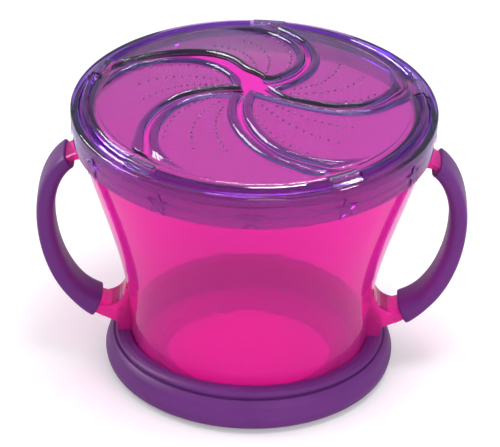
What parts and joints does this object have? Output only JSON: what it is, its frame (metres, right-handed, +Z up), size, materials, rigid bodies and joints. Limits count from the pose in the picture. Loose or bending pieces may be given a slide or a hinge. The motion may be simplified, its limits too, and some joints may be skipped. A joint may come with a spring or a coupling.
{
  "type": "toddler snack container",
  "caption": "Translucent snack cup with looped side handles in soft grips, a soft foot ring, and a push-on lid whose soft domed top is cut into swirling, springy flaps.",
  "frame": {"origin": "middle of the foot ring's underside, on the surface the container stands on", "axes": "+Z up along the cup's axis, X across the two handles, the pictured front faces -Y"},
  "size_m": [0.1138, 0.096, 0.0822],
  "materials": {
    "cup_shell": "translucent pink polypropylene, polished",
    "cup_handles": "translucent pink polypropylene, polished",
    "soft_grips": "satin purple soft-touch elastomer",
    "foot_ring": "satin purple soft-touch elastomer",
    "lid_shell": "translucent violet plastic, polished",
    "soft_top": "translucent mauve elastomer, glossy"
  },
  "bodies": {
    "container": {"cup": "cup_shell", "handle_left": "cup_handles", "handle_right": "cup_handles", "grip_left": "soft_grips", "grip_right": "soft_grips", "base_ring": "foot_ring"},
    "lid": {"lid_ring": "lid_shell", "soft_top_rim": "soft_top"},
    "flap_1_body": {"flap_1": "soft_top"},
    "flap_2_body": {"flap_2": "soft_top"},
    "flap_3_body": {"flap_3": "soft_top"},
    "flap_4_body": {"flap_4": "soft_top"},
    "flap_5_body": {"flap_5": "soft_top"}
  },
  "joints": [
    {"name": "lid_lift", "type": "slide", "parent": "container", "child": "lid", "axis": [0, 0, 1], "range_m": [0, 0.04]},
    {"name": "flap_1_bend", "type": "hinge", "parent": "lid", "child": "flap_1_body", "pos_m": [-0.02042, 0.02614, 0.07809], "axis": [-0.788, -0.6157, 0], "range_deg": [-60, 25], "stiffness_Nm_per_rad": 0.015},
    {"name": "flap_2_bend", "type": "hinge", "parent": "lid", "child": "flap_2_body", "pos_m": [-0.03117, -0.01134, 0.07809], "axis": [0.342, -0.9397, 0], "range_deg": [-60, 25], "stiffness_Nm_per_rad": 0.015},
    {"name": "flap_3_bend", "type": "hinge", "parent": "lid", "child": "flap_3_body", "pos_m": [0.00116, -0.03315, 0.07809], "axis": [0.9994, 0.0349, 0], "range_deg": [-60, 25], "stiffness_Nm_per_rad": 0.015},
    {"name": "flap_4_bend", "type": "hinge", "parent": "lid", "child": "flap_4_body", "pos_m": [0.03188, -0.00914, 0.07809], "axis": [0.2756, 0.9613, 0], "range_deg": [-60, 25], "stiffness_Nm_per_rad": 0.015},
    {"name": "flap_5_bend", "type": "hinge", "parent": "lid", "child": "flap_5_body", "pos_m": [0.01855, 0.0275, 0.07809], "axis": [-0.829, 0.5592, 0], "range_deg": [-60, 25], "stiffness_Nm_per_rad": 0.015}
  ]
}
